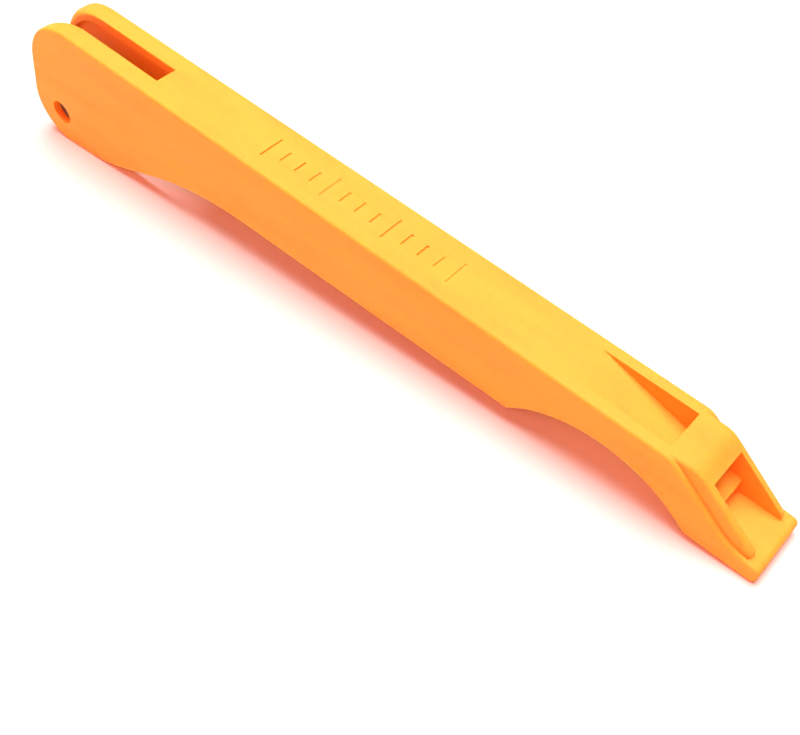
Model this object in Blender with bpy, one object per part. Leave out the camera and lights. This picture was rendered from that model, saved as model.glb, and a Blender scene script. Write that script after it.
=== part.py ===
"""Hand foiler: the hand-held tool that lays adhesive copper foil on the edge of stained glass.

Three pieces: a one-piece moulded body, a steel roller between the ears of its fork, and
the steel pin that carries the roller.

The body is drawn in tool coordinates, in metres. u runs along the straight back from the
front of the fork to the tip of the tongue, y runs across, and w runs up from the back, so
w is negative inside the tool. The body object is then turned and moved so that the soles
of the ears and the toe of the tongue stand on z = 0, with the origin at the middle of the
bounding box's underside.
"""

import bmesh
import bpy
from math import acos, asin, atan2, ceil, cos, pi, radians, sin, tan
from mathutils import Matrix, Vector

# Overall sizes
LENGTH = 0.1455
WIDTH = 0.0107
BACK_THICKNESS = 0.0018

# The foil runs in a channel that is open below. Its width suits 7/32 in (5.56 mm) foil.
FOIL_WIDTH = 0.00556
FOIL_CLEARANCE = 0.0006
CHANNEL_WIDTH = FOIL_WIDTH + FOIL_CLEARANCE

# The fork: the slot takes 1/8 in (3.2 mm) glass, and the pin stands low in the ears.
GLASS_THICKNESS = 0.0032
GLASS_CLEARANCE = 0.0006
SLOT_WIDTH = GLASS_THICKNESS + GLASS_CLEARANCE
SLOT_END = 0.0309
EAR_DEPTH = 0.0249
EAR_CROWN_RADIUS = 0.0112
CROWN_SET_BACK = 0.0026
EAR_NOSE_RADIUS = 0.0071
PIN_FROM_FRONT = 0.0069
PIN_FROM_SOLE = 0.0061
LIP_DEPTH = 0.0125
MOUTH_RADIUS = 0.0018
MOUTH_STEPS = 6
MOUTH_EDGE = 0.0001

# Underside: the soles of the ears, the slope up to the belly, the belly and the neck.
SOLE_END = 0.0181
SOLE_RADIUS = 0.030
SHOULDER_SLOPE = radians(23.0)
SHOULDER_RADIUS = 0.060
BELLY_DEPTH_REAR = 0.0144
BELLY_DEPTH_FRONT = 0.0123
NECK_LENGTH = 0.0290
NECK_DEPTH = 0.0060

# The nose: a full-width tongue, with the narrower bridge and rails standing on it.
TONGUE_LENGTH = 0.0108
TONGUE_TOP = 0.0088
TONGUE_THICKNESS = 0.0029
TOE_RADIUS = 0.0009
CHEEK_FROM_TIP = 0.0162
CHEEK_TIP_RADIUS = 0.0030
CHEEK_SLOPE = radians(37.0)
CHEEK_FOOT_RADIUS = 0.0100
FOOT_ROOM_USED = 0.95
RAIL_INSET = 0.00085
BRIDGE_FROM_TIP = 0.0173
BRIDGE_LENGTH = 0.0047
BRIDGE_THICKNESS = 0.0016
BRIDGE_RADIUS = 0.0035
RAIL_SLOPE = radians(37.0)
RAIL_END_FROM_TIP = 0.0020
RAIL_END_RADIUS = 0.0012
NOSE_ROOT = 0.0010

# The threading pocket: a ramp sinks from the back, under the bridge, to the foil gap.
POCKET_STEP = 0.0003
RAMP_LENGTH = 0.0239
RAMP_FROM_TIP = 0.0086
RAMP_SLOPE = radians(15.0)
RAMP_THICKNESS = 0.0014

# The channel's cut and the pocket's cut overlap by this much where they meet
CUT_OVERLAP = 0.0005

# A rib ties the walls together inside the channel.
RIB_FROM_BELLY = 0.0049
RIB_THICKNESS = 0.0012
RIB_DEPTH = 0.0070
RIB_ROOT = 0.0004

# Engraved graduation marks on the back
MARK_FROM_SLOT = 0.0236
MARK_PITCH = 0.0030
MARK_COUNT = 13
MARK_LONG_EVERY = 4
MARK_WIDTH = 0.0005
MARK_DEPTH = 0.0003
MARK_SHORT = 0.0026
MARK_LONG = 0.0048

# Pin and roller
PIN_HOLE_DIAMETER = 0.0044
PIN_GAP = 0.0002
PIN_RECESS = 0.0011
PIN_CHAMFER = 0.0003
ROLLER_DIAMETER = 0.0060
ROLLER_GAP = 0.0003
ROLLER_SIDE_GAP = 0.0003
ROLLER_EDGE = 0.0002

# Moulded edges, and how finely arcs are cut into chords
EDGE_RADIUS = 0.0005
EDGE_SEGMENTS = 3
CHORD_ERROR = 0.000012
TURNED_STEPS = 48

# Cutters reach this far past what they cut
REACH = 0.004

# Places along the tool and widths that follow from the sizes above
PIN_U = PIN_FROM_FRONT
PIN_W = PIN_FROM_SOLE - EAR_DEPTH
MARK_START = SLOT_END + MARK_FROM_SLOT
HEEL = LENGTH - TONGUE_LENGTH
BELLY_END = HEEL - NECK_LENGTH
RIB_U = BELLY_END + RIB_FROM_BELLY
CHEEK_TIP = LENGTH - CHEEK_FROM_TIP
BRIDGE_REAR = LENGTH - BRIDGE_FROM_TIP
BRIDGE_FRONT = BRIDGE_REAR + BRIDGE_LENGTH
RAIL_END = LENGTH - RAIL_END_FROM_TIP
RAMP_END = LENGTH - RAMP_FROM_TIP
RAMP_START = RAMP_END - RAMP_LENGTH
POCKET_WIDTH = CHANNEL_WIDTH + 2 * POCKET_STEP

PLASTIC = (0.93, 0.46, 0.06, 1.0)
STEEL = (0.62, 0.62, 0.62, 1.0)


def chords(radius, angle):
    """How many chords an arc takes to stay within CHORD_ERROR of the true curve."""
    step = 2 * acos(1 - CHORD_ERROR / radius)
    return max(2, ceil(abs(angle) / step))


def turned(vector, angle):
    """A flat vector turned anticlockwise."""
    return Vector((vector.x * cos(angle) - vector.y * sin(angle),
                   vector.x * sin(angle) + vector.y * cos(angle)))


def sweep(centre, start, angle):
    """Points of the arc about centre that begins at start and turns by angle."""
    spoke = start - centre
    count = chords(spoke.length, angle)
    return [centre + turned(spoke, angle * step / count) for step in range(count + 1)]


def rounded(corners):
    """Outline through (point, radius) corners: a radius above zero gives a tangent arc."""
    outline = []
    for index, (point, radius) in enumerate(corners):
        if radius == 0:
            outline.append(point)
            continue
        back = (corners[index - 1][0] - point).normalized()
        ahead = (corners[(index + 1) % len(corners)][0] - point).normalized()
        half = acos(back.dot(ahead)) / 2
        centre = point + (back + ahead).normalized() * (radius / sin(half))
        start = point + back * (radius / tan(half))
        side = 1 if back.cross(ahead) < 0 else -1
        outline += sweep(centre, start, side * (pi - 2 * half))
    return outline


def at(u, w):
    """A point of the side view."""
    return Vector((u, w))


def meet(point, angle, other, other_angle):
    """Where two lines cross, each given by a point and its slope angle."""
    along = at(cos(angle), sin(angle))
    across = at(-sin(other_angle), cos(other_angle))
    return point + along * (across.dot(other - point) / across.dot(along))


def nose_centre():
    """Centre of the round at the foot of the ear's straight front edge."""
    return at(EAR_NOSE_RADIUS, EAR_NOSE_RADIUS - EAR_DEPTH)


def rest_angle():
    """Slope of the line that touches the ear's nose and the toe from below."""
    toe = at(LENGTH - TOE_RADIUS, -TONGUE_TOP - TONGUE_THICKNESS + TOE_RADIUS)
    span = toe - nose_centre()
    return atan2(span.y, span.x) + asin((EAR_NOSE_RADIUS - TOE_RADIUS) / span.length)


def front_angle():
    """Slope of the ear's front edge: from the crown's corner down to the nose."""
    span = nose_centre() - at(CROWN_SET_BACK, 0)
    return atan2(span.y, span.x) - asin(EAR_NOSE_RADIUS / span.length)


def sole_point():
    """Lowest point of the ear's nose once the tool stands at rest."""
    angle = rest_angle()
    return nose_centre() + at(sin(angle), -cos(angle)) * EAR_NOSE_RADIUS


def crown_centre():
    """Centre of the ear's crown."""
    bend = pi + front_angle()
    return at(CROWN_SET_BACK + EAR_CROWN_RADIUS * tan(bend / 2), -EAR_CROWN_RADIUS)


def crown_arc():
    """Arc of the ear's crown, from the back down to the front edge."""
    centre = crown_centre()
    return sweep(centre, centre + at(0, EAR_CROWN_RADIUS), pi + front_angle())


def nose_arc():
    """Arc of the ear's nose, from the front edge down to the sole."""
    spoke = turned(at(-EAR_NOSE_RADIUS, 0), front_angle() + pi / 2)
    angle = rest_angle() - front_angle()
    return sweep(nose_centre(), nose_centre() + spoke, angle)


def belly_angle():
    """Slope of the belly's straight part against the back."""
    return atan2(BELLY_DEPTH_REAR - BELLY_DEPTH_FRONT, BELLY_END - SOLE_END)


def neck_arc():
    """Concave arc from the end of the belly to the heel of the tongue, belly end first."""
    start = at(BELLY_END, -BELLY_DEPTH_FRONT)
    end = at(HEEL, -TONGUE_TOP - TONGUE_THICKNESS)
    middle = (start + end) / 2
    half = (end - start).length / 2
    rise = -NECK_DEPTH - middle.y
    radius = (half ** 2 + rise ** 2) / (2 * rise)
    up = turned((end - start).normalized(), pi / 2)
    centre = middle + up * (rise - radius)
    return sweep(centre, start, -2 * asin(half / radius))


def side_outline():
    """Side view of the full-width body, clockwise from the crown of the ear."""
    rest = rest_angle()
    nose_corner = meet(at(CROWN_SET_BACK, 0), front_angle(), sole_point(), rest)
    sole_corner = sole_point() + at(cos(rest), sin(rest)) * (SOLE_END - sole_point().x)
    belly_front = at(BELLY_END, -BELLY_DEPTH_FRONT)
    belly_corner = meet(sole_corner, SHOULDER_SLOPE, belly_front, belly_angle())
    toe_w = -TONGUE_TOP - TONGUE_THICKNESS
    cheek_foot = meet(at(CHEEK_TIP, 0), -CHEEK_SLOPE, at(LENGTH, -TONGUE_TOP), 0)
    foot_room = FOOT_ROOM_USED * (LENGTH - TOE_RADIUS - cheek_foot.x)
    foot_radius = min(CHEEK_FOOT_RADIUS, foot_room / tan(CHEEK_SLOPE / 2))
    corners = [
        (at(CROWN_SET_BACK, 0), EAR_CROWN_RADIUS),
        (at(CHEEK_TIP, 0), CHEEK_TIP_RADIUS),
        (cheek_foot, foot_radius),
        (at(LENGTH, -TONGUE_TOP), TOE_RADIUS),
        (at(LENGTH, toe_w), TOE_RADIUS),
    ]
    corners += [(point, 0) for point in reversed(neck_arc())]
    corners += [
        (belly_corner, SHOULDER_RADIUS),
        (sole_corner, SOLE_RADIUS),
        (nose_corner, EAR_NOSE_RADIUS),
    ]
    return rounded(corners)


def nose_outline():
    """Side view of the bridge and rails, sunk into the body behind and the tongue below."""
    crest = CHEEK_TIP - CHEEK_TIP_RADIUS * tan(CHEEK_SLOPE / 2)
    root = -TONGUE_TOP - NOSE_ROOT
    return rounded([
        (at(crest, 0), 0),
        (at(BRIDGE_FRONT, 0), BRIDGE_RADIUS),
        (meet(at(BRIDGE_FRONT, 0), -RAIL_SLOPE, at(RAIL_END, 0), pi / 2), RAIL_END_RADIUS),
        (at(RAIL_END, root), 0),
        (at(HEEL, root), 0),
        (at(crest - NOSE_ROOT, -NOSE_ROOT), 0),
    ])


def ramp_w(u):
    """Height of the ramp's surface at u."""
    return -(u - RAMP_START) * tan(RAMP_SLOPE)


def channel_outline():
    """Side view of the foil channel, open below and at the front under the slot's lips."""
    below = -EAR_DEPTH - REACH
    crown = crown_centre()
    inner = EAR_CROWN_RADIUS - BACK_THICKNESS
    lip = sweep(crown, crown + at(-inner, 0), -pi / 2)
    under_start = RAMP_START + (BACK_THICKNESS - RAMP_THICKNESS) / tan(RAMP_SLOPE)
    outline = [at(-REACH, below), at(-REACH, -LIP_DEPTH), at(lip[0].x, -LIP_DEPTH)]
    outline += lip
    outline += [
        at(under_start, -BACK_THICKNESS),
        at(RAMP_END, ramp_w(RAMP_END) - RAMP_THICKNESS),
        at(RAMP_END + CUT_OVERLAP, ramp_w(RAMP_END) - RAMP_THICKNESS),
        at(RAMP_END + CUT_OVERLAP, -TONGUE_TOP),
        at(HEEL, -TONGUE_TOP),
        at(HEEL, below),
    ]
    return outline


def pocket_outline():
    """Side view of the threading pocket and window: above the ramp, round the bridge."""
    beyond = LENGTH + REACH
    return [
        at(RAMP_START - REACH / tan(RAMP_SLOPE), REACH),
        at(BRIDGE_REAR, REACH),
        at(BRIDGE_REAR, -BRIDGE_THICKNESS),
        at(beyond, -BRIDGE_THICKNESS),
        at(beyond, -TONGUE_TOP),
        at(RAMP_END, -TONGUE_TOP),
        at(RAMP_END, ramp_w(RAMP_END)),
    ]


def loft(shape, outline, stations):
    """Add a solid to a bmesh: a side-view outline carried through (y, shift along u) steps."""
    y, shift = stations[0]
    ring = [shape.verts.new((point.x + shift, y, point.y)) for point in outline]
    edges = [shape.edges.new((ring[i - 1], ring[i])) for i in range(len(ring))]
    bmesh.ops.contextual_create(shape, geom=edges)
    for next_y, next_shift in stations[1:]:
        grown = bmesh.ops.extrude_edge_only(shape, edges=edges)["geom"]
        moved = [item for item in grown if isinstance(item, bmesh.types.BMVert)]
        edges = [item for item in grown if isinstance(item, bmesh.types.BMEdge)
                 and item.verts[0] in moved and item.verts[1] in moved]
        bmesh.ops.translate(shape, verts=moved, vec=(next_shift - shift, next_y - y, 0))
        y, shift = next_y, next_shift
    bmesh.ops.contextual_create(shape, geom=edges)


def face_out(shape):
    """Make every face of a closed bmesh point outwards."""
    bmesh.ops.recalc_face_normals(shape, faces=shape.faces)
    if shape.calc_volume(signed=True) < 0:
        bmesh.ops.reverse_faces(shape, faces=shape.faces)


def prism(outline, width):
    """Closed bmesh: a side-view outline given a width across, centred on y = 0."""
    shape = bmesh.new()
    loft(shape, outline, [(-width / 2, 0), (width / 2, 0)])
    face_out(shape)
    return shape


def round_rims(shape, width):
    """Round the edges where a prism's two flat sides meet its outline."""
    rims = [edge for edge in shape.edges
            if abs(edge.verts[0].co.y - edge.verts[1].co.y) < width / 2
            and abs(abs(edge.verts[0].co.y) - width / 2) < CHORD_ERROR]
    bmesh.ops.bevel(shape, geom=rims, offset=EDGE_RADIUS, offset_type="OFFSET",
                    segments=EDGE_SEGMENTS, profile=0.5, affect="EDGES", material=-1)


def box(shape, low, high):
    """Add a box between two corners to a bmesh."""
    made = bmesh.ops.create_cube(shape, size=1)
    low, high = Vector(low), Vector(high)
    bmesh.ops.scale(shape, verts=made["verts"], vec=high - low)
    bmesh.ops.translate(shape, verts=made["verts"], vec=(low + high) / 2)


def revolved(profile):
    """Closed ring or rod about Y: a (radius, y) profile turned through a full circle."""
    shape = bmesh.new()
    ring = [shape.verts.new((radius, y, 0)) for radius, y in profile]
    edges = [shape.edges.new((ring[i - 1], ring[i])) for i in range(len(ring))
             if profile[i - 1][0] > 0 or profile[i][0] > 0]
    bmesh.ops.spin(shape, geom=ring + edges, axis=(0, 1, 0), cent=(0, 0, 0),
                   angle=2 * pi, steps=TURNED_STEPS, use_merge=True)
    bmesh.ops.remove_doubles(shape, verts=shape.verts, dist=CHORD_ERROR / 10)
    face_out(shape)
    return shape


def make_object(name, shape, material=None):
    """Turn a bmesh into a named object in the scene."""
    mesh = bpy.data.meshes.new(name)
    shape.to_mesh(mesh)
    shape.free()
    thing = bpy.data.objects.new(name, mesh)
    bpy.context.scene.collection.objects.link(thing)
    if material:
        mesh.materials.append(material)
        mesh.shade_smooth()
        mesh.set_sharp_from_angle(angle=radians(35))
    return thing


def make_material(name, colour, roughness, metallic):
    """A plain material with its own shader."""
    material = bpy.data.materials.new(name)
    material.use_nodes = True
    shader = material.node_tree.nodes["Principled BSDF"]
    shader.inputs["Base Color"].default_value = colour
    shader.inputs["Roughness"].default_value = roughness
    shader.inputs["Metallic"].default_value = metallic
    return material


def combine(body, name, shape, operation):
    """Join or cut the body with a hidden helper that follows it."""
    helper = make_object(name, shape)
    helper.parent = body
    helper.hide_render = True
    helper.display_type = "WIRE"
    modifier = body.modifiers.new(name, "BOOLEAN")
    modifier.operation = operation
    modifier.solver = "EXACT"
    modifier.object = helper


def nose_shape():
    """The bridge and rails as one block, before the pocket opens it."""
    width = WIDTH - 2 * RAIL_INSET
    shape = prism(nose_outline(), width)
    round_rims(shape, width)
    return shape


def slot_shape():
    """Glass slot through the back and the front lips of the ears."""
    shape = bmesh.new()
    box(shape, (-REACH, -SLOT_WIDTH / 2, -LIP_DEPTH - REACH), (SLOT_END, SLOT_WIDTH / 2, REACH))
    return shape


def mouth_shape():
    """Rounded lead-in of the slot's mouth, along the inner front edge of each ear."""
    front = crown_arc() + nose_arc()
    below = -EAR_DEPTH - REACH
    outline = front + [at(front[-1].x, below), at(-REACH, below), at(-REACH, REACH),
                       at(front[0].x, REACH)]
    inner = SLOT_WIDTH / 2
    stations = [(inner + MOUTH_RADIUS, -MOUTH_EDGE)]
    for step in range(1, MOUTH_STEPS + 1):
        angle = pi / 2 * step / MOUTH_STEPS
        stations.append((inner + MOUTH_RADIUS * (1 - sin(angle)), MOUTH_RADIUS * (1 - cos(angle))))
    stations.append((inner / 2, MOUTH_RADIUS))
    shape = bmesh.new()
    for side in (-1, 1):
        loft(shape, outline, [(side * y, shift) for y, shift in stations])
    face_out(shape)
    return shape


def rib_shape():
    """Cross rib, its ends sunk into the walls and its top into the back."""
    half_span = CHANNEL_WIDTH / 2 + RIB_ROOT
    shape = bmesh.new()
    box(shape, (RIB_U - RIB_THICKNESS / 2, -half_span, -RIB_DEPTH),
        (RIB_U + RIB_THICKNESS / 2, half_span, -BACK_THICKNESS + RIB_ROOT))
    return shape


def pin_hole_shape():
    """Bore through both ears."""
    shape = bmesh.new()
    radius = PIN_HOLE_DIAMETER / 2
    across = Matrix.Translation((PIN_U, 0, PIN_W)) @ Matrix.Rotation(pi / 2, 4, "X")
    bmesh.ops.create_cone(shape, cap_ends=True, segments=TURNED_STEPS, radius1=radius,
                          radius2=radius, depth=WIDTH + 2 * REACH, matrix=across)
    return shape


def marks_shape():
    """Graduation marks: a row of shallow grooves, every few of them longer."""
    shape = bmesh.new()
    for index in range(MARK_COUNT):
        length = MARK_LONG if index % MARK_LONG_EVERY == 0 else MARK_SHORT
        u = MARK_START + index * MARK_PITCH
        box(shape, (u - MARK_WIDTH / 2, -length / 2, -MARK_DEPTH),
            (u + MARK_WIDTH / 2, length / 2, REACH))
    return shape


def make_body(material):
    """The moulding, standing on its soles and toe."""
    outline = side_outline()
    shape = prism(outline, WIDTH)
    round_rims(shape, WIDTH)
    body = make_object("body", shape, material)
    combine(body, "nose_block", nose_shape(), "UNION")
    combine(body, "channel_cut", prism(channel_outline(), CHANNEL_WIDTH), "DIFFERENCE")
    combine(body, "pocket_cut", prism(pocket_outline(), POCKET_WIDTH), "DIFFERENCE")
    combine(body, "slot_cut", slot_shape(), "DIFFERENCE")
    combine(body, "mouth_cut", mouth_shape(), "DIFFERENCE")
    combine(body, "rib_block", rib_shape(), "UNION")
    combine(body, "pin_hole_cut", pin_hole_shape(), "DIFFERENCE")
    combine(body, "marks_cut", marks_shape(), "DIFFERENCE")
    standing = [turned(point, -rest_angle()) for point in outline]
    middle = (min(point.x for point in standing) + max(point.x for point in standing)) / 2
    body.location = (-middle, 0, -min(point.y for point in standing))
    body.rotation_euler = (0, rest_angle(), 0)
    return body


def pin_centre(body):
    """Where the pin's axis crosses y = 0, in the standing tool."""
    spot = turned(at(PIN_U, PIN_W), -rest_angle())
    return body.location + Vector((spot.x, 0, spot.y))


def make_pin(material, centre):
    """Headless pin, its ends just inside the ears' outer sides."""
    radius = PIN_HOLE_DIAMETER / 2 - PIN_GAP
    end = WIDTH / 2 - PIN_RECESS
    pin = make_object("axle_pin", revolved([
        (0, -end), (radius - PIN_CHAMFER, -end), (radius, -end + PIN_CHAMFER),
        (radius, end - PIN_CHAMFER), (radius - PIN_CHAMFER, end), (0, end),
    ]), material)
    pin.location = centre
    return pin


def make_roller(material, centre):
    """Sleeve that spins on the pin. Its origin lies on the spin axis."""
    inner = PIN_HOLE_DIAMETER / 2 - PIN_GAP + ROLLER_GAP
    outer = ROLLER_DIAMETER / 2
    end = CHANNEL_WIDTH / 2 - ROLLER_SIDE_GAP
    roller = make_object("roller", revolved([
        (inner, -end), (outer - ROLLER_EDGE, -end), (outer, -end + ROLLER_EDGE),
        (outer, end - ROLLER_EDGE), (outer - ROLLER_EDGE, end), (inner, end),
    ]), material)
    roller.location = centre
    return roller


def build():
    """Empty the scene, then make the three pieces."""
    for leftover in list(bpy.data.objects):
        bpy.data.objects.remove(leftover, do_unlink=True)
    plastic = make_material("moulded_plastic", PLASTIC, 0.45, 0.0)
    steel = make_material("ground_steel", STEEL, 0.25, 1.0)
    body = make_body(plastic)
    centre = pin_centre(body)
    make_pin(steel, centre)
    make_roller(steel, centre)


build()
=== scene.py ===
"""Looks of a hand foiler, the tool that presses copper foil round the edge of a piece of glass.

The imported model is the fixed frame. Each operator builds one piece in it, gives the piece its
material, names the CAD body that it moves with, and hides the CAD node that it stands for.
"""

from math import cos, pi, radians, sin

import bmesh
import bpy
from bpy.props import FloatProperty, FloatVectorProperty, IntProperty, PointerProperty
from bpy.types import Operator, Panel, PropertyGroup
from mathutils import Matrix, Vector


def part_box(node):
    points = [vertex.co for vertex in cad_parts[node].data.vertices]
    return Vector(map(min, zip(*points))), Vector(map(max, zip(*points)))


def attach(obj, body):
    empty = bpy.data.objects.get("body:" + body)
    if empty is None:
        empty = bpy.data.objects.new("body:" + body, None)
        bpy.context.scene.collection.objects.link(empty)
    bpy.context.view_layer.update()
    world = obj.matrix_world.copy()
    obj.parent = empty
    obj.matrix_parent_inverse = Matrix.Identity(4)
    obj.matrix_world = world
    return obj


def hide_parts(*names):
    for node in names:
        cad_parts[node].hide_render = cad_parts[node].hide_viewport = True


bl_info = {
    "name": "Hand foiler",
    "version": (1, 0, 0),
    "blender": (4, 5, 0),
    "location": "View3D > Sidebar > Foiler",
    "description": "Builds the moulded handle, the steel roller and its pin of a hand foiler",
    "category": "Object",
}

MILLIMETRE = 0.001
SAME_POINT = 1e-6
FLAT_ANGLE = radians(1.0)
CORNER_ANGLE = radians(35)
SMOOTH_ANGLE = radians(40)
RIM_SEGMENTS = 3
FULL_TURN = 2 * pi

# A Mix node's sockets have numbers, because each kind of data has sockets of the same name.
MIX_FACTOR, MIX_FIRST, MIX_SECOND, MIX_RESULT = 0, 6, 7, 2

# Widths of the features of each pattern
STREAK = 5 * MILLIMETRE
SPECKLE = 0.5 * MILLIMETRE
SHEEN_PATCH = 3 * MILLIMETRE
SMUDGE = 1.6 * MILLIMETRE
FIBRE = 0.8 * MILLIMETRE
FIBRE_DEPTH = 0.01 * MILLIMETRE
STREAK_STRETCH = 6
LINE_STRETCH = 50

# The camera's sensor is measured in millimetres, and all else in metres.
SENSOR_WIDTH = 36
NEAREST_SEEN = 5 * MILLIMETRE

# Where the handle's inner rims stay crisp: lowest and highest x, and half width, in metres
CRISP_ZONES = {
    "mouth of the slot": (-0.0729, -0.0576, 0.0060),
    "marks": (-0.0245, 0.0245, 0.0026),
    "start of the ramp": (0.0395, 0.0470, 0.0037),
    "ends of the rails": (0.0675, 0.0729, 0.0037),
}

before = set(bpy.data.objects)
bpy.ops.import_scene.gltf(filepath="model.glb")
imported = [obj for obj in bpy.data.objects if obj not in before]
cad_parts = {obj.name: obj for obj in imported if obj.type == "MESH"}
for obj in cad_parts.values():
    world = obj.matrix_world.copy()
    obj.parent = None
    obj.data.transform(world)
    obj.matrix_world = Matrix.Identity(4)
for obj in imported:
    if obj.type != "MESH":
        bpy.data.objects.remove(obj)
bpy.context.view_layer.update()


def linear(hex_code):
    """Linear red, green and blue of an sRGB hex colour."""
    channels = [int(hex_code[at:at + 2], 16) / 255 for at in (1, 3, 5)]
    return tuple(c / 12.92 if c <= 0.04045 else ((c + 0.055) / 1.055) ** 2.4 for c in channels)


def colour(name, description, hex_code):
    """A colour property whose default is an sRGB hex colour."""
    return FloatVectorProperty(name=name, description=description, size=3, min=0, max=1,
                               default=linear(hex_code), subtype="COLOR")


def length(name, description, default):
    """A length property in metres."""
    return FloatProperty(name=name, description=description, default=default, min=0,
                         precision=6, subtype="DISTANCE", unit="LENGTH")


def factor(name, description, default):
    """A property from 0 to 1."""
    return FloatProperty(name=name, description=description, default=default, min=0, max=1,
                         subtype="FACTOR")


def angle(name, description, degrees):
    """An angle property, given in degrees."""
    return FloatProperty(name=name, description=description, default=radians(degrees),
                         subtype="ANGLE", unit="ROTATION")


class FoilerPlastic(PropertyGroup):
    """Sizes and finish of the moulded handle."""

    rim: length("Rim radius", "Radius left on the inner rims by the mould", 0.00022)
    base: colour("Plastic", "Colour of the pigmented plastic", "#F7AB3C")
    flow: colour("Flow streaks", "Colour where the melt flowed and the pigment is denser",
                 "#F59B34")
    bleed: length("Bleed", "How far red light travels inside the plastic", 0.0030)
    translucency: factor("Translucency", "Share of the light that enters the plastic", 0.7)
    roughness: factor("Roughness", "Mean roughness of the spark-eroded mould finish", 0.6)
    grain: length("Grain", "Width of one grain of the mould finish", 0.00032)
    grain_depth: length("Grain depth", "Depth of the mould finish", 0.000010)
    sink: length("Sink", "Width of the slow waves that cooling leaves in a wall", 0.0085)
    sink_depth: length("Sink depth", "Depth of the slow waves", 0.000030)


class FoilerSteel(PropertyGroup):
    """Sizes and finish of the roller and its pin."""

    bore: length("Roller bore", "Diameter of the hole through the roller", 0.0046)
    edge: length("Roller edge", "Chamfer on the roller's rims", 0.0002)
    pin_edge: length("Pin edge", "Chamfer on the pin's ends", 0.0003)
    centre: length("Pin centre", "Radius of the turning centre in each end of the pin", 0.0005)
    steps: IntProperty(name="Steps", description="Steps round each turned piece", default=96,
                       min=24, max=256)
    bright: colour("Turned steel", "Colour of the bright roller", "#CFCBC4")
    worn: colour("Track", "Colour of the dulled track on the roller", "#A9A39B")
    # The pin shows only deep in its holes, and its two dark brownish colours are painted shade
    # there; the lighter one is mixed in at random patches.
    painted_shade_steel: colour("Painted shade steel", "Dark colour of the pin, painted shade for its holes", "#55453F")
    painted_shade_patches: colour("Painted shade patches", "Lighter colour mixed into the pin's painted shade at random", "#75625A")
    bright_roughness: factor("Turned roughness", "Mean roughness of the bright roller", 0.27)
    pin_roughness: factor("Pin roughness", "Mean roughness of the pin", 0.4)
    lathe_pitch: length("Lathe pitch", "Distance between the lines left by turning", 0.00009)
    lathe_depth: length("Lathe depth", "Depth of the lines left by turning", 0.000004)


class FoilerStage(PropertyGroup):
    """Floor, light and camera."""

    floor: colour("Floor", "Colour of the paper floor", "#E2E1E0")
    backdrop: colour("Backdrop", "Colour seen beyond the floor", "#F4F3F2")
    floor_size: length("Floor size", "Side of the square floor", 1.1)
    key_power: FloatProperty(name="Key power", description="Power of the large soft light",
                             default=17.9, min=0, unit="POWER")
    key_distance: length("Key distance", "Distance of the large soft light", 1.0)
    key_size: length("Key size", "Side of the large soft light", 0.75)
    key_heading: angle("Key heading", "Direction of the large soft light, from +X towards +Y", 117)
    key_height: angle("Key height", "Height of the large soft light above the floor", 82)
    fill_power: FloatProperty(name="Fill power", description="Power of the neutral light in front",
                              default=1.15, min=0, unit="POWER")
    fill_distance: length("Fill distance", "Distance of the neutral light in front", 0.9)
    fill_size: length("Fill size", "Side of the neutral light in front", 0.7)
    fill_heading: angle("Fill heading", "Direction of the neutral light, from +X towards +Y", -82)
    fill_height: angle("Fill height", "Height of the neutral light above the floor", 42)
    fill_tint: colour("Fill tint", "Colour of the neutral light", "#FFF4EE")
    glow_power: FloatProperty(name="Glow power", description="Power of the red-tinted light",
                              default=9.4, min=0, unit="POWER")
    glow_distance: length("Glow distance", "Distance of the red-tinted light", 0.9)
    glow_size: length("Glow size", "Side of the red-tinted light", 0.8)
    glow_heading: angle("Glow heading", "Direction of the red-tinted light, from +X to +Y", -80)
    glow_height: angle("Glow height", "Height of the red-tinted light above the floor", 36)
    glow_tint: colour("Glow tint", "Colour of the red-tinted light", "#FF5230")
    room: colour("Room", "Colour of the light from all round", "#FFEDE8")
    room_strength: FloatProperty(name="Room strength", description="Light from all round",
                                 default=0.10, min=0)
    lens: FloatProperty(name="Lens", description="Focal length on a 36 mm wide sensor",
                        default=49.03, min=10, subtype="DISTANCE_CAMERA", unit="CAMERA")
    eye: FloatVectorProperty(name="Eye", description="Place of the camera", size=3,
                             default=(0.084392, -0.087201, 0.122573), precision=5,
                             subtype="TRANSLATION", unit="LENGTH")
    sight: FloatVectorProperty(name="Sight", description="Direction that the camera looks in",
                               size=3, default=(-0.42876, 0.49374, -0.75657), precision=5,
                               subtype="DIRECTION")


def per_metre(size):
    """Texture scale that makes one feature as wide as this size in metres."""
    return 1 / size


def add_node(tree, kind, settings=None, links=None):
    """Adds one shader node. Settings are the node's own or its sockets'; links name a source."""
    node = tree.nodes.new(kind)
    for key, value in (settings or {}).items():
        if isinstance(key, str) and hasattr(node, key):
            setattr(node, key, value)
        else:
            node.inputs[key].default_value = value
    for key, source in (links or {}).items():
        tree.links.new(source, node.inputs[key])
    return node


def new_material(name):
    """An empty material's node tree, with its output."""
    material = bpy.data.materials.new(name)
    material.use_nodes = True
    material.node_tree.nodes.clear()
    return material, material.node_tree


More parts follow.
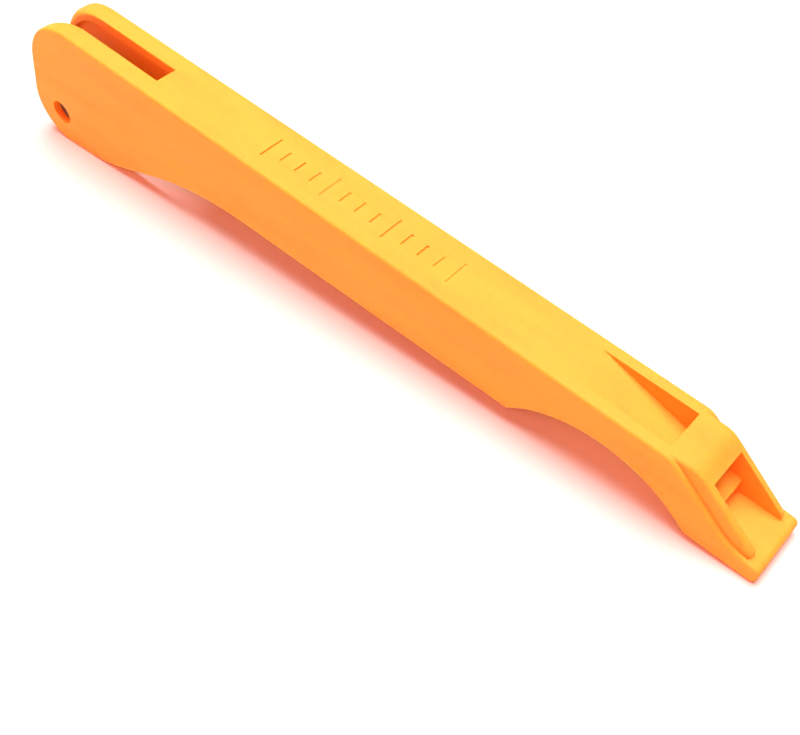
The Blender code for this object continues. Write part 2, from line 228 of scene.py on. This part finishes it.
def moulded_polypropylene(look):
    """Pigmented polypropylene from a spark-eroded mould.

    The finish is a fine satin grain, so highlights are broad. The wall lets red light through,
    so edges and recesses glow, and the melt leaves faint streaks and shallow sink waves.
    """
    material, tree = new_material("moulded polypropylene")
    place = add_node(tree, "ShaderNodeTexCoord").outputs["Object"]
    # The melt ran along the handle, so the streaks are longer than they are wide.
    along = add_node(tree, "ShaderNodeMapping", {"Scale": (1 / STREAK_STRETCH, 1, 1)},
                     {"Vector": place})
    streaks = add_node(tree, "ShaderNodeTexNoise",
                       {"Scale": per_metre(STREAK), "Detail": 4, "Roughness": 0.6},
                       {"Vector": along.outputs["Vector"]})
    streak_mask = add_node(tree, "ShaderNodeMapRange",
                           {"From Min": 0.42, "From Max": 0.68, "To Max": 0.5},
                           {"Value": streaks.outputs["Fac"]})
    speckle = add_node(tree, "ShaderNodeTexNoise",
                       {"Scale": per_metre(SPECKLE), "Detail": 2, "Roughness": 0.7},
                       {"Vector": place})
    speckle_value = add_node(tree, "ShaderNodeMapRange",
                             {"From Min": 0.3, "From Max": 0.7, "To Min": 0.975, "To Max": 1.025},
                             {"Value": speckle.outputs["Fac"]})
    pigment = add_node(tree, "ShaderNodeMix",
                       {"data_type": "RGBA", MIX_FIRST: (*look.base, 1),
                        MIX_SECOND: (*look.flow, 1)},
                       {MIX_FACTOR: streak_mask.outputs["Result"]})
    tint = add_node(tree, "ShaderNodeHueSaturation", {},
                    {"Color": pigment.outputs[MIX_RESULT],
                     "Value": speckle_value.outputs["Result"]})
    # Such a mould's grain is about 0.1 mm wide, and is drawn coarser so that it shows.
    grain = add_node(tree, "ShaderNodeTexNoise",
                     {"Scale": per_metre(look.grain), "Detail": 3, "Roughness": 0.55},
                     {"Vector": place})
    sink = add_node(tree, "ShaderNodeTexNoise",
                    {"Scale": per_metre(look.sink), "Detail": 1, "Roughness": 0.4},
                    {"Vector": place})
    sheen_patches = add_node(tree, "ShaderNodeTexNoise",
                             {"Scale": per_metre(SHEEN_PATCH), "Detail": 3, "Roughness": 0.6},
                             {"Vector": along.outputs["Vector"]})
    roughness = add_node(tree, "ShaderNodeMapRange",
                         {"From Min": 0.3, "From Max": 0.7, "To Min": look.roughness - 0.06,
                          "To Max": look.roughness + 0.06},
                         {"Value": sheen_patches.outputs["Fac"]})
    waves = add_node(tree, "ShaderNodeBump", {"Strength": 1.0, "Distance": look.sink_depth},
                     {"Height": sink.outputs["Fac"]})
    surface = add_node(tree, "ShaderNodeBump", {"Strength": 0.8, "Distance": look.grain_depth},
                       {"Height": grain.outputs["Fac"], "Normal": waves.outputs["Normal"]})
    shader = add_node(tree, "ShaderNodeBsdfPrincipled",
                      {"IOR": 1.49, "Specular IOR Level": 0.22,
                       "subsurface_method": "RANDOM_WALK",
                       "Subsurface Weight": look.translucency,
                       "Subsurface Radius": (1.0, 0.16, 0.03), "Subsurface Scale": look.bleed},
                      {"Base Color": tint.outputs["Color"],
                       "Roughness": roughness.outputs["Result"],
                       "Normal": surface.outputs["Normal"]})
    add_node(tree, "ShaderNodeOutputMaterial", {}, {"Surface": shader.outputs["BSDF"]})
    return material


def turned_steel(name, look, bright, dull, roughness):
    """Steel turned on a lathe: fine lines run round it, so highlights stretch across them."""
    material, tree = new_material(name)
    place = add_node(tree, "ShaderNodeTexCoord").outputs["Object"]
    # The lines run round the axle, so the pattern changes along it and hardly at all across it.
    across = 1 / LINE_STRETCH
    round_axle = add_node(tree, "ShaderNodeMapping", {"Scale": (across, 1, across)},
                          {"Vector": place})
    lines = add_node(tree, "ShaderNodeTexNoise",
                     {"Scale": per_metre(look.lathe_pitch), "Detail": 3, "Roughness": 0.6},
                     {"Vector": round_axle.outputs["Vector"]})
    smudges = add_node(tree, "ShaderNodeTexNoise",
                       {"Scale": per_metre(SMUDGE), "Detail": 4, "Roughness": 0.6},
                       {"Vector": place})
    smudge_mask = add_node(tree, "ShaderNodeMapRange",
                           {"From Min": 0.4, "From Max": 0.7},
                           {"Value": smudges.outputs["Fac"]})
    metal = add_node(tree, "ShaderNodeMix",
                     {"data_type": "RGBA", MIX_FIRST: (*bright, 1), MIX_SECOND: (*dull, 1)},
                     {MIX_FACTOR: smudge_mask.outputs["Result"]})
    rough = add_node(tree, "ShaderNodeMapRange",
                     {"From Min": 0.3, "From Max": 0.7, "To Min": roughness - 0.07,
                      "To Max": roughness + 0.1},
                     {"Value": smudges.outputs["Fac"]})
    surface = add_node(tree, "ShaderNodeBump", {"Strength": 0.7, "Distance": look.lathe_depth},
                       {"Height": lines.outputs["Fac"]})
    shader = add_node(tree, "ShaderNodeBsdfPrincipled", {"Metallic": 1.0, "Anisotropic": 0.4},
                      {"Base Color": metal.outputs[MIX_RESULT],
                       "Roughness": rough.outputs["Result"],
                       "Normal": surface.outputs["Normal"]})
    add_node(tree, "ShaderNodeOutputMaterial", {}, {"Surface": shader.outputs["BSDF"]})
    return material


def matte_paper(look):
    """Uncoated white paper: fully matte, with a fibre grain that is only just there."""
    material, tree = new_material("matte paper")
    place = add_node(tree, "ShaderNodeTexCoord").outputs["Object"]
    fibres = add_node(tree, "ShaderNodeTexNoise",
                      {"Scale": per_metre(FIBRE), "Detail": 3}, {"Vector": place})
    roughness = add_node(tree, "ShaderNodeMapRange", {"To Min": 0.85, "To Max": 1.0},
                         {"Value": fibres.outputs["Fac"]})
    surface = add_node(tree, "ShaderNodeBump", {"Strength": 0.2, "Distance": FIBRE_DEPTH},
                       {"Height": fibres.outputs["Fac"]})
    shader = add_node(tree, "ShaderNodeBsdfPrincipled",
                      {"Base Color": (*look.floor, 1), "Specular IOR Level": 0.1},
                      {"Roughness": roughness.outputs["Result"],
                       "Normal": surface.outputs["Normal"]})
    add_node(tree, "ShaderNodeOutputMaterial", {}, {"Surface": shader.outputs["BSDF"]})
    return material


def merged_copy(node):
    """A closed mesh from a CAD node's loose triangles, with its flat faces made whole."""
    shape = bmesh.new()
    shape.from_mesh(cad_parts[node].data)
    bmesh.ops.remove_doubles(shape, verts=shape.verts, dist=SAME_POINT)
    bmesh.ops.dissolve_limit(shape, angle_limit=FLAT_ANGLE, verts=shape.verts,
                             edges=shape.edges, use_dissolve_boundaries=False)
    return shape


def crisp(point):
    """Whether a point lies where the rims stay crisp."""
    return any(low < point.x < high and abs(point.y) < half
               for low, high, half in CRISP_ZONES.values())


def plain_rim(edge):
    """Whether an edge is an outward corner that the mould leaves rounded."""
    if edge.calc_face_angle(0) < CORNER_ANGLE or not edge.is_convex:
        return False
    return not any(crisp(vertex.co) for vertex in edge.verts)


def ease(shape, edges, radius):
    """Rounds edges by this radius."""
    bmesh.ops.bevel(shape, geom=edges, offset=radius, offset_type="OFFSET",
                    segments=RIM_SEGMENTS, profile=0.5, affect="EDGES", clamp_overlap=False,
                    material=-1)


def closed(shape):
    """Whether every edge of a shape joins exactly two faces."""
    return all(len(edge.link_faces) == 2 for edge in shape.edges)


def finished(name, shape, material, body, node):
    """Makes a shape a smooth shaded piece that moves with a body and stands for a CAD node."""
    if not closed(shape):
        raise RuntimeError(f"{name} isn't closed")
    mesh = bpy.data.meshes.new(name)
    shape.to_mesh(mesh)
    shape.free()
    mesh.materials.append(material)
    mesh.shade_smooth()
    mesh.set_sharp_from_angle(angle=SMOOTH_ANGLE)
    piece = bpy.data.objects.new(name, mesh)
    bpy.context.scene.collection.objects.link(piece)
    shading = piece.modifiers.new("Flat faces stay flat", "WEIGHTED_NORMAL")
    shading.keep_sharp = True
    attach(piece, body)
    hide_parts(node)
    return piece


def spun(profile, centre, steps):
    """Turns an outline of (radius, place along the axle) points once round the axle.

    An outline that starts on the axle ends on it too. Any other is closed into a ring.
    """
    shape = bmesh.new()
    points = [shape.verts.new((radius, along, 0)) for radius, along in profile]
    back_to_start = [] if profile[0][0] == 0 else points[:1]
    edges = [shape.edges.new(pair) for pair in zip(points, points[1:] + back_to_start)]
    bmesh.ops.spin(shape, geom=points + edges, cent=(0, 0, 0), axis=(0, 1, 0), angle=FULL_TURN,
                   steps=steps, use_merge=True)
    bmesh.ops.remove_doubles(shape, verts=shape.verts, dist=SAME_POINT)
    bmesh.ops.recalc_face_normals(shape, faces=shape.faces)
    bmesh.ops.translate(shape, verts=shape.verts, vec=centre)
    return shape


def centre_and_reach(node):
    """The middle of a CAD node's box, its radius across the axle and half its length along it."""
    low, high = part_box(node)
    reach = (high - low) / 2
    return (low + high) / 2, min(reach.x, reach.z), reach.y


class FOILER_OT_handle(Operator):
    """Makes the moulded handle, with the rims of its slots, channel and bridge eased."""

    bl_idname = "foiler.handle"
    bl_label = "Moulded handle"

    def execute(self, context):
        look = context.scene.foiler_plastic
        shape = merged_copy("body")
        ease(shape, [edge for edge in shape.edges if plain_rim(edge)], look.rim)
        finished("handle_moulding", shape, moulded_polypropylene(look), "handle", "body")
        return {"FINISHED"}


class FOILER_OT_roller(Operator):
    """Makes the roller, a turned steel sleeve with chamfered rims."""

    bl_idname = "foiler.roller"
    bl_label = "Steel roller"

    def execute(self, context):
        look = context.scene.foiler_steel
        centre, outer, half = centre_and_reach("roller")
        inner, edge = look.bore / 2, look.edge
        profile = [(outer - edge, -half), (outer, edge - half), (outer, half - edge),
                   (outer - edge, half), (inner + edge, half), (inner, half - edge),
                   (inner, edge - half), (inner + edge, -half)]
        shape = spun(profile, centre, look.steps)
        steel = turned_steel("turned steel", look, look.bright, look.worn,
                             look.bright_roughness)
        finished("roller_sleeve", shape, steel, "roller", "roller")
        return {"FINISHED"}


class FOILER_OT_pin(Operator):
    """Makes the pin that the roller turns on, with chamfered ends and turning centres."""

    bl_idname = "foiler.pin"
    bl_label = "Axle pin"

    def execute(self, context):
        look = context.scene.foiler_steel
        centre, outer, half = centre_and_reach("axle_pin")
        edge, dimple = look.pin_edge, look.centre
        profile = [(0, dimple - half), (dimple, -half), (outer - edge, -half),
                   (outer, edge - half), (outer, half - edge), (outer - edge, half),
                   (dimple, half), (0, half - dimple)]
        shape = spun(profile, centre, look.steps)
        # The pin's dark colours are painted shade for the holes that it sits in.
        steel = turned_steel("painted shade pin steel", look, look.painted_shade_steel, look.painted_shade_patches,
                             look.pin_roughness)
        finished("pin_shaft", shape, steel, "handle", "axle_pin")
        return {"FINISHED"}


def aimed(position, direction):
    """A placement that looks along a direction with its top edge level."""
    turn = Vector(direction).to_track_quat("-Z", "Y")
    return Matrix.Translation(position) @ turn.to_matrix().to_4x4()


def soft_light(name, power, size, distance, heading, height, tint):
    """Adds a square soft light that faces the middle of the object."""
    lamp = bpy.data.lights.new(name, "AREA")
    lamp.energy, lamp.size, lamp.color = power, size, tint
    towards = Vector((cos(heading) * cos(height), sin(heading) * cos(height), sin(height)))
    light = bpy.data.objects.new(name, lamp)
    light.matrix_world = aimed(towards * distance, -towards)
    bpy.context.scene.collection.objects.link(light)


def pale_room(look):
    """A dim room that lights the object evenly, with a pale backdrop beyond the floor."""
    world = bpy.data.worlds.new("room")
    world.use_nodes = True
    tree = world.node_tree
    tree.nodes.clear()
    light = add_node(tree, "ShaderNodeBackground",
                     {"Color": (*look.room, 1), "Strength": look.room_strength})
    backdrop = add_node(tree, "ShaderNodeBackground", {"Color": (*look.backdrop, 1)})
    seen = add_node(tree, "ShaderNodeLightPath")
    mix = add_node(tree, "ShaderNodeMixShader", {},
                   {0: seen.outputs["Is Camera Ray"], 1: light.outputs["Background"],
                    2: backdrop.outputs["Background"]})
    add_node(tree, "ShaderNodeOutputWorld", {}, {"Surface": mix.outputs["Shader"]})
    return world


class FOILER_OT_stage(Operator):
    """Makes the floor, the lights, the room's light and the camera."""

    bl_idname = "foiler.stage"
    bl_label = "Stage"

    def execute(self, context):
        look, scene = context.scene.foiler_stage, context.scene
        shape = bmesh.new()
        bmesh.ops.create_grid(shape, x_segments=1, y_segments=1, size=look.floor_size / 2)
        mesh = bpy.data.meshes.new("floor")
        shape.to_mesh(mesh)
        shape.free()
        mesh.materials.append(matte_paper(look))
        floor = bpy.data.objects.new("floor", mesh)
        scene.collection.objects.link(floor)
        soft_light("key", look.key_power, look.key_size, look.key_distance, look.key_heading,
                   look.key_height, (1, 1, 1))
        soft_light("fill", look.fill_power, look.fill_size, look.fill_distance,
                   look.fill_heading, look.fill_height, look.fill_tint)
        # This light is tinted red, which gives the shadow and the recesses their red.
        soft_light("glow", look.glow_power, look.glow_size, look.glow_distance,
                   look.glow_heading, look.glow_height, look.glow_tint)
        scene.world = pale_room(look)
        camera = bpy.data.cameras.new("camera")
        camera.lens, camera.sensor_width = look.lens, SENSOR_WIDTH
        camera.clip_start = NEAREST_SEEN
        viewer = bpy.data.objects.new("camera", camera)
        viewer.matrix_world = aimed(look.eye, look.sight)
        scene.collection.objects.link(viewer)
        scene.camera = viewer
        scene.view_settings.view_transform = "Standard"
        return {"FINISHED"}


class FOILER_PT_panel(Panel):
    """Lists the sizes, the finishes and the operators in the 3D view's sidebar."""

    bl_idname = "FOILER_PT_panel"
    bl_label = "Hand foiler"
    bl_space_type = "VIEW_3D"
    bl_region_type = "UI"
    bl_category = "Foiler"

    def draw(self, context):
        for settings, operators in PARTS:
            box = self.layout.box()
            group = getattr(context.scene, settings)
            for name in group.bl_rna.properties.keys():
                if name not in ("rna_type", "name"):
                    box.prop(group, name)
            for operator in operators:
                box.operator(operator.bl_idname)


PARTS = (
    ("foiler_plastic", (FOILER_OT_handle,)),
    ("foiler_steel", (FOILER_OT_roller, FOILER_OT_pin)),
    ("foiler_stage", (FOILER_OT_stage,)),
)
GROUPS = {
    "foiler_plastic": FoilerPlastic,
    "foiler_steel": FoilerSteel,
    "foiler_stage": FoilerStage,
}
CLASSES = (*GROUPS.values(), FOILER_OT_handle, FOILER_OT_roller, FOILER_OT_pin,
           FOILER_OT_stage, FOILER_PT_panel)


def register():
    for item in CLASSES:
        bpy.utils.register_class(item)
    for name, group in GROUPS.items():
        setattr(bpy.types.Scene, name, PointerProperty(type=group))


def unregister():
    for name in GROUPS:
        delattr(bpy.types.Scene, name)
    for item in reversed(CLASSES):
        bpy.utils.unregister_class(item)


def main():
    register()
    bpy.ops.foiler.handle()
    bpy.ops.foiler.roller()
    bpy.ops.foiler.pin()
    bpy.ops.foiler.stage()


if __name__ == "__main__":
    main()
